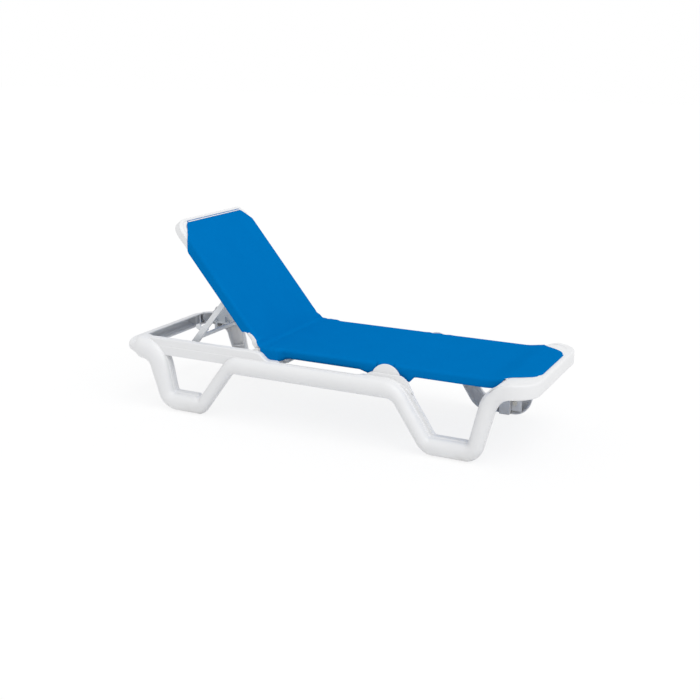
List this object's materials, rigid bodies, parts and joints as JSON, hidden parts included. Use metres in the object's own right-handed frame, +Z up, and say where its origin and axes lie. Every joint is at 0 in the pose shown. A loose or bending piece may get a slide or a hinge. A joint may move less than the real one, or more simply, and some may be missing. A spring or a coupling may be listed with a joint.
{
  "type": "sling chaise lounge",
  "caption": "Long low lounge chair: moulded wave-shaped side frames carry a stretched sling seat and a sling back that reclines on a ratchet bracket",
  "frame": {"origin": "on the floor, at the middle of the overall length and width", "axes": "+X to the foot end, +Y from the near side to the far side, +Z up"},
  "size_m": [1.93, 0.71, 0.8492],
  "materials": {
    "white_resin": "moulded, smooth with a soft gloss",
    "grey_resin": "moulded, satin",
    "coated_metal": "white coating, satin",
    "steel": "plain, lightly worn",
    "sling_fabric": "woven coated yarn, matt",
    "plug_plastic": "moulded, off-white"
  },
  "bodies": {
    "base": {"side_frame_near": "white_resin", "side_frame_far": "white_resin", "head_bar": "white_resin", "foot_bar": "white_resin", "ratchet_plate_near": "grey_resin", "ratchet_plate_far": "grey_resin", "plate_head_screw_near": "steel", "plate_head_screw_far": "steel", "plate_foot_screw_near": "steel", "plate_foot_screw_far": "steel", "hinge_ear_near": "white_resin", "hinge_ear_far": "white_resin", "middle_ear_near": "white_resin", "middle_ear_far": "white_resin", "hinge_ear_head_bolt_near": "steel", "hinge_ear_head_bolt_far": "steel", "hinge_ear_foot_bolt_near": "steel", "hinge_ear_foot_bolt_far": "steel", "middle_ear_head_bolt_near": "steel", "middle_ear_head_bolt_far": "steel", "middle_ear_foot_bolt_near": "steel", "middle_ear_foot_bolt_far": "steel", "hinge_pin_near": "steel", "hinge_pin_far": "steel", "head_leg_plug_near": "plug_plastic", "head_leg_plug_far": "plug_plastic", "foot_leg_plug_near": "plug_plastic", "foot_leg_plug_far": "plug_plastic", "seat_rail_near": "white_resin", "seat_rail_far": "white_resin", "seat_hinge_bar": "grey_resin", "seat_middle_bar": "grey_resin", "seat_foot_bar": "white_resin", "sling_seat": "sling_fabric"},
    "back": {"back_rail_near": "white_resin", "back_rail_far": "white_resin", "back_corner_near": "white_resin", "back_corner_far": "white_resin", "back_top_bar": "white_resin", "back_low_bar": "grey_resin", "back_middle_bar": "grey_resin", "support_lug_near": "grey_resin", "support_lug_far": "grey_resin", "support_pivot_near": "steel", "support_pivot_far": "steel", "sling_back": "sling_fabric"},
    "support": {"support_arm_near": "coated_metal", "support_arm_far": "coated_metal", "support_shoe_near": "coated_metal", "support_shoe_far": "coated_metal", "ratchet_pin_near": "steel", "ratchet_pin_far": "steel", "support_low_strip": "coated_metal", "support_high_strip": "coated_metal"}
  },
  "joints": [
    {"name": "back_recline", "type": "hinge", "parent": "base", "child": "back", "pos_m": [-0.26, 0, 0.33], "axis": [0, 1, 0], "range_deg": [-50.5, 8.1]},
    {"name": "support_swing", "type": "hinge", "parent": "back", "child": "support", "pos_m": [-0.45489, 0, 0.51926], "axis": [0, 1, 0], "range_deg": [-15.5, 95.9]}
  ],
  "couplings": [
    {"joint": "support_swing", "follows": "back_recline", "ratio": -1.8952}
  ]
}
